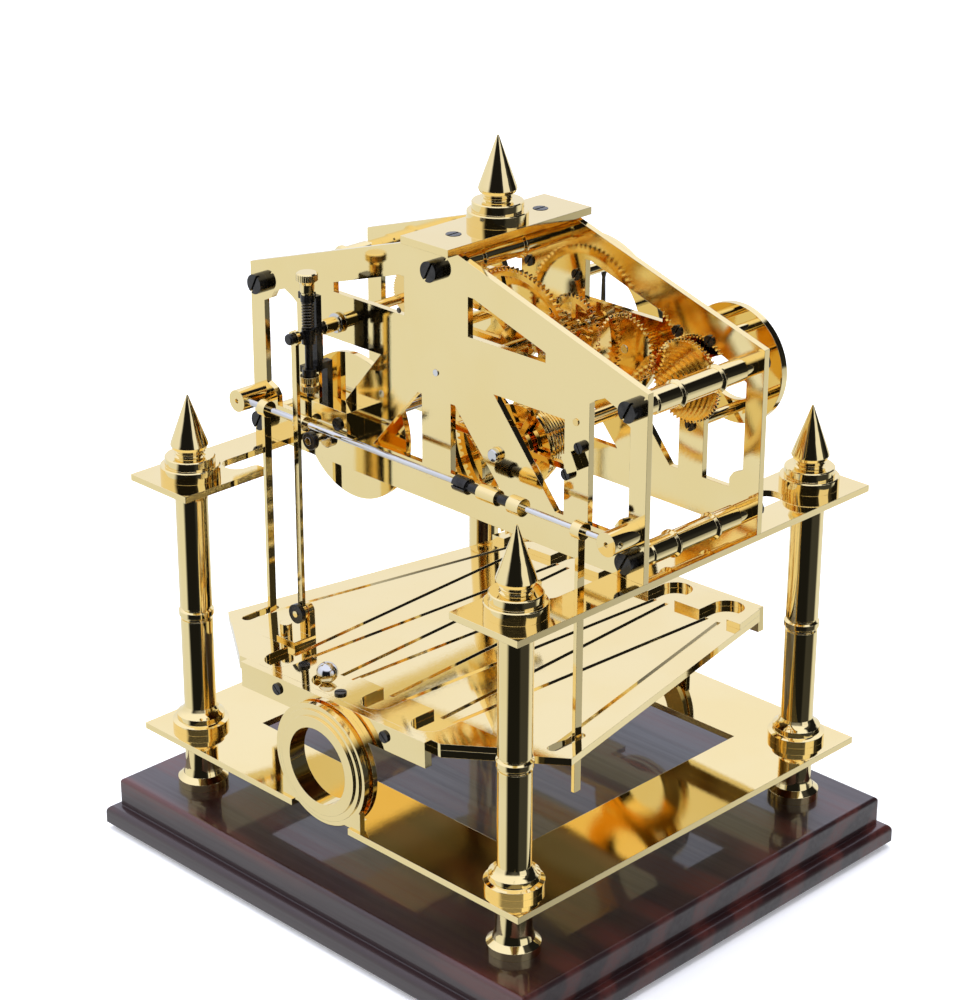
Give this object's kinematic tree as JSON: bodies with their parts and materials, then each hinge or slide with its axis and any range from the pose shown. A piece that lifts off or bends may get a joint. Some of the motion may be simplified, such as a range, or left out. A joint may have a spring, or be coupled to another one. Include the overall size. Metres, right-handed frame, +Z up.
{
  "type": "rolling ball skeleton clock",
  "caption": "Skeleton clock with a gabled open movement on columns, three dial rings and a zigzag tilting tray on which a steel ball rolls to and fro, on a wood base.",
  "frame": {"origin": "centre of the underside of the feet", "axes": "+Z up, -Y towards the dials, +X to the right of a reader of the dials"},
  "size_m": [0.361, 0.328, 0.4494],
  "materials": {
    "polished_brass": "mirror polished and lacquered",
    "black_steel": "satin black oxide",
    "bright_steel": "polished",
    "dark_spring": "dark oiled",
    "dark_wood": "high gloss lacquer",
    "rubber_feet": "matte"
  },
  "bodies": {
    "frame": {"wood_base": "dark_wood", "feet": "rubber_feet", "lower_pillars": "polished_brass", "bottom_plate": "polished_brass", "columns": "polished_brass", "column_finials": "polished_brass", "side_rails": "polished_brass", "back_plate": "polished_brass", "front_plate": "polished_brass", "plate_pillars": "polished_brass", "frame_screws": "black_steel", "top_cap": "polished_brass", "top_finial": "polished_brass", "minute_dial": "polished_brass", "small_dials": "polished_brass", "dial_feet": "polished_brass", "bearing_rings": "polished_brass", "rod_posts": "polished_brass", "guide_block": "polished_brass", "plate_clamp": "polished_brass", "fixing_screws": "black_steel", "gear_studs": "bright_steel"},
    "tray": {"tray_plate": "polished_brass", "pocket_plates": "polished_brass", "tray_bars": "polished_brass", "tray_collars": "polished_brass", "tray_screws": "black_steel", "tray_yoke": "polished_brass"},
    "ball": {"steel_ball": "bright_steel"},
    "trip": {"trip_rod": "bright_steel", "trip_levers": "polished_brass", "rod_collars": "polished_brass", "rod_clamps": "black_steel"},
    "lift": {"lift_bar": "black_steel", "lift_stem": "black_steel", "cross_pin": "black_steel", "buffer_spring": "dark_spring"},
    "knob": {"adjust_knob": "polished_brass"},
    "nut": {"lock_nut": "polished_brass"},
    "link": {"connecting_rod": "polished_brass"},
    "crank": {"crank_arbor": "bright_steel", "crank_disc": "polished_brass", "arbor_nut": "black_steel", "seconds_drive": "polished_brass"},
    "centre": {"centre_arbor": "bright_steel", "centre_wheel": "polished_brass", "minute_hand": "black_steel"},
    "great": {"fusee": "polished_brass", "great_wheel": "polished_brass"},
    "mainspring": {"barrel": "polished_brass"},
    "third": {"third_arbor": "bright_steel", "third_wheel": "polished_brass"},
    "idler_seconds": {"seconds_idler": "polished_brass"},
    "seconds": {"seconds_wheel": "polished_brass", "seconds_hand": "black_steel"},
    "idler_motion": {"motion_idler": "polished_brass"},
    "motion": {"motion_wheel": "polished_brass"},
    "idler_hour": {"hour_idler": "polished_brass"},
    "hour": {"hour_wheel": "polished_brass", "hour_hand": "black_steel"}
  },
  "joints": [
    {"name": "tray_tilt", "type": "hinge", "parent": "frame", "child": "tray", "pos_m": [0, 0, 0.1063], "axis": [0, -1, 0], "range_deg": [0, 3.54]},
    {"name": "ball_roll", "type": "slide", "parent": "tray", "child": "ball", "axis": [0.0565, -0.9984, -0.0017], "range_m": [0, 0.22937]},
    {"name": "trip_swing", "type": "hinge", "parent": "frame", "child": "trip", "pos_m": [0, 0.068, 0.269], "axis": [1, 0, 0], "range_deg": [-0.5, 7]},
    {"name": "lift_slide", "type": "slide", "parent": "frame", "child": "lift", "axis": [0, 0, 1], "range_m": [0, 0.0049]},
    {"name": "knob_turn", "type": "hinge", "parent": "lift", "child": "knob", "pos_m": [0.0775, 0.0775, 0.36], "axis": [0, 0, 1], "continuous": true},
    {"name": "nut_turn", "type": "hinge", "parent": "lift", "child": "nut", "pos_m": [0.0775, 0.0775, 0.3], "axis": [0, 0, 1], "continuous": true},
    {"name": "link_swing", "type": "hinge", "parent": "lift", "child": "link", "pos_m": [0.0791, 0.0865, 0.3305], "axis": [0, 1, 0], "range_deg": [0, 1.2]},
    {"name": "crank_turn", "type": "hinge", "parent": "frame", "child": "crank", "pos_m": [0.0816, 0, 0.263], "axis": [0, 1, 0], "continuous": true},
    {"name": "centre_turn", "type": "hinge", "parent": "frame", "child": "centre", "pos_m": [0, 0, 0.3207], "axis": [0, 1, 0], "continuous": true},
    {"name": "great_turn", "type": "hinge", "parent": "frame", "child": "great", "pos_m": [-0.048, 0, 0.2847], "axis": [0, 1, 0], "continuous": true},
    {"name": "barrel_turn", "type": "hinge", "parent": "frame", "child": "mainspring", "pos_m": [0.006, 0, 0.258], "axis": [0, 1, 0], "continuous": true},
    {"name": "third_turn", "type": "hinge", "parent": "frame", "child": "third", "pos_m": [0.04537, 0, 0.2958], "axis": [0, 1, 0], "continuous": true},
    {"name": "seconds_idler_turn", "type": "hinge", "parent": "frame", "child": "idler_seconds", "pos_m": [0.10306, 0, 0.28807], "axis": [0, 1, 0], "continuous": true},
    {"name": "seconds_turn", "type": "hinge", "parent": "frame", "child": "seconds", "pos_m": [0.108, 0, 0.3207], "axis": [0, 1, 0], "continuous": true},
    {"name": "motion_idler_turn", "type": "hinge", "parent": "frame", "child": "idler_motion", "pos_m": [-0.02731, 0, 0.33311], "axis": [0, 1, 0], "continuous": true},
    {"name": "motion_turn", "type": "hinge", "parent": "frame", "child": "motion", "pos_m": [-0.06725, 0, 0.33086], "axis": [0, 1, 0], "continuous": true},
    {"name": "hour_idler_turn", "type": "hinge", "parent": "frame", "child": "idler_hour", "pos_m": [-0.07606, 0, 0.32272], "axis": [0, 1, 0], "continuous": true},
    {"name": "hour_turn", "type": "hinge", "parent": "frame", "child": "hour", "pos_m": [-0.108, 0, 0.3207], "axis": [0, 1, 0], "continuous": true}
  ],
  "couplings": [
    {"joint": "lift_slide", "follows": "tray_tilt", "m_per_rad": 0.077478},
    {"joint": "link_swing", "follows": "tray_tilt", "ratio": 0.30764},
    {"joint": "third_turn", "follows": "crank_turn", "ratio": -0.13333},
    {"joint": "centre_turn", "follows": "crank_turn", "ratio": 0.016667},
    {"joint": "great_turn", "follows": "crank_turn", "ratio": -0.0018519},
    {"joint": "seconds_idler_turn", "follows": "crank_turn", "ratio": -1},
    {"joint": "seconds_turn", "follows": "crank_turn", "ratio": 1},
    {"joint": "motion_idler_turn", "follows": "crank_turn", "ratio": -0.0083333},
    {"joint": "motion_turn", "follows": "crank_turn", "ratio": 0.0083333},
    {"joint": "hour_idler_turn", "follows": "crank_turn", "ratio": -0.0041667},
    {"joint": "hour_turn", "follows": "crank_turn", "ratio": 0.0013889}
  ]
}
